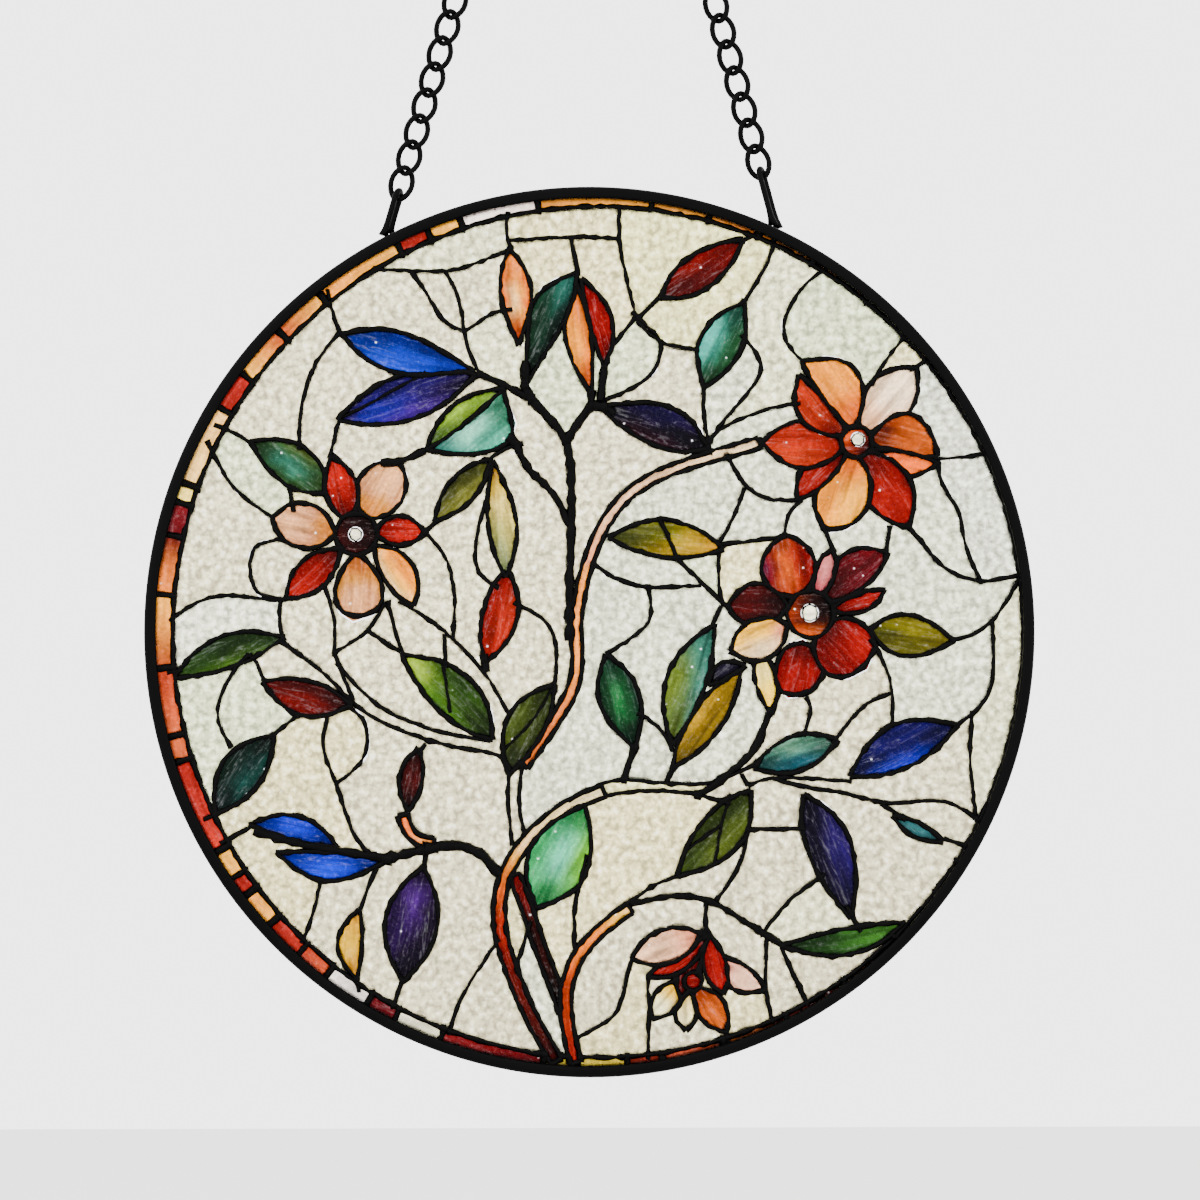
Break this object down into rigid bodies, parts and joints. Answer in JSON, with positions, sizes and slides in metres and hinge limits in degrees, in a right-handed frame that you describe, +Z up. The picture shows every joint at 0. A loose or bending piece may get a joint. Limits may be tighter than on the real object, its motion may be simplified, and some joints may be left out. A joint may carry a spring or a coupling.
{
  "type": "stained glass suncatcher",
  "caption": "Round leaded glass window panel with leaves and flowers in a black rim, hung on a chain.",
  "frame": {"origin": "the hanging point, inside the top of the chain's middle link, where a hook or nail bears", "axes": "+Z up, front of the panel faces -Y, +X to the viewer's right"},
  "size_m": [0.2, 0.008, 0.337],
  "materials": {
    "black_metal": "satin black paint",
    "black_lead": "dark patinated lead",
    "background_glass": "granular cream glass",
    "border_glass": "streaky cathedral glass",
    "flower_left_dot": "streaky cathedral glass",
    "flower_upper_right_dot": "streaky cathedral glass",
    "flower_right_dot": "streaky cathedral glass",
    "flower_left": "streaky cathedral glass",
    "flower_upper_right": "streaky cathedral glass",
    "flower_right": "streaky cathedral glass",
    "flower_bell": "streaky cathedral glass",
    "leaf_blue_top": "streaky cathedral glass",
    "leaf_violet": "streaky cathedral glass",
    "leaf_lime": "streaky cathedral glass",
    "leaf_sea_green": "streaky cathedral glass",
    "leaf_moss": "streaky cathedral glass",
    "bud_orange": "streaky cathedral glass",
    "leaf_forest": "streaky cathedral glass",
    "leaf_scarlet": "streaky cathedral glass",
    "leaf_amber": "streaky cathedral glass",
    "leaf_crimson": "streaky cathedral glass",
    "leaf_teal": "streaky cathedral glass",
    "leaf_plum": "streaky cathedral glass",
    "leaf_olive_middle": "streaky cathedral glass",
    "leaf_olive_small": "streaky cathedral glass",
    "leaf_straw": "streaky cathedral glass",
    "leaf_rose_red": "streaky cathedral glass",
    "leaf_green_far_left": "streaky cathedral glass",
    "leaf_wine": "streaky cathedral glass",
    "leaf_green_left": "streaky cathedral glass",
    "leaf_dark_green": "streaky cathedral glass",
    "leaf_olive_green": "streaky cathedral glass",
    "leaf_emerald": "streaky cathedral glass",
    "leaf_sage": "streaky cathedral glass",
    "leaf_gold": "streaky cathedral glass",
    "leaf_olive_right": "streaky cathedral glass",
    "leaf_teal_low": "streaky cathedral glass",
    "leaf_indigo": "streaky cathedral glass",
    "leaf_olive_low": "streaky cathedral glass",
    "leaf_midnight": "streaky cathedral glass",
    "leaf_teal_tiny": "streaky cathedral glass",
    "leaf_green_low": "streaky cathedral glass",
    "leaf_bright_green": "streaky cathedral glass",
    "leaf_blue_upper": "streaky cathedral glass",
    "leaf_blue_lower": "streaky cathedral glass",
    "leaf_aubergine": "streaky cathedral glass",
    "bud_dark_red": "streaky cathedral glass",
    "leaf_yellow": "streaky cathedral glass",
    "leaf_dark_violet": "streaky cathedral glass",
    "stem_right": "streaky cathedral glass",
    "stem_left": "streaky cathedral glass",
    "stem_branch": "streaky cathedral glass",
    "stem_dark": "streaky cathedral glass",
    "stem_pink": "streaky cathedral glass"
  },
  "bodies": {
    "root": {"rim": "black_metal", "leading": "black_lead", "background_glass": "background_glass", "border_glass": "border_glass", "flower_left_dot": "flower_left_dot", "flower_upper_right_dot": "flower_upper_right_dot", "flower_right_dot": "flower_right_dot", "flower_left": "flower_left", "flower_upper_right": "flower_upper_right", "flower_right": "flower_right", "flower_bell": "flower_bell", "leaf_blue_top": "leaf_blue_top", "leaf_violet": "leaf_violet", "leaf_lime": "leaf_lime", "leaf_sea_green": "leaf_sea_green", "leaf_moss": "leaf_moss", "bud_orange": "bud_orange", "leaf_forest": "leaf_forest", "leaf_scarlet": "leaf_scarlet", "leaf_amber": "leaf_amber", "leaf_crimson": "leaf_crimson", "leaf_teal": "leaf_teal", "leaf_plum": "leaf_plum", "leaf_olive_middle": "leaf_olive_middle", "leaf_olive_small": "leaf_olive_small", "leaf_straw": "leaf_straw", "leaf_rose_red": "leaf_rose_red", "leaf_green_far_left": "leaf_green_far_left", "leaf_wine": "leaf_wine", "leaf_green_left": "leaf_green_left", "leaf_dark_green": "leaf_dark_green", "leaf_olive_green": "leaf_olive_green", "leaf_emerald": "leaf_emerald", "leaf_sage": "leaf_sage", "leaf_gold": "leaf_gold", "leaf_olive_right": "leaf_olive_right", "leaf_teal_low": "leaf_teal_low", "leaf_indigo": "leaf_indigo", "leaf_olive_low": "leaf_olive_low", "leaf_midnight": "leaf_midnight", "leaf_teal_tiny": "leaf_teal_tiny", "leaf_green_low": "leaf_green_low", "leaf_bright_green": "leaf_bright_green", "leaf_blue_upper": "leaf_blue_upper", "leaf_blue_lower": "leaf_blue_lower", "leaf_aubergine": "leaf_aubergine", "bud_dark_red": "bud_dark_red", "leaf_yellow": "leaf_yellow", "leaf_dark_violet": "leaf_dark_violet", "stem_right": "stem_right", "stem_left": "stem_left", "stem_branch": "stem_branch", "stem_dark": "stem_dark", "stem_pink": "stem_pink", "chain_left": "black_metal", "hanging_eye_left": "black_metal", "chain_right": "black_metal", "hanging_eye_right": "black_metal", "chain_top_link": "black_metal"}
  },
  "joints": []
}
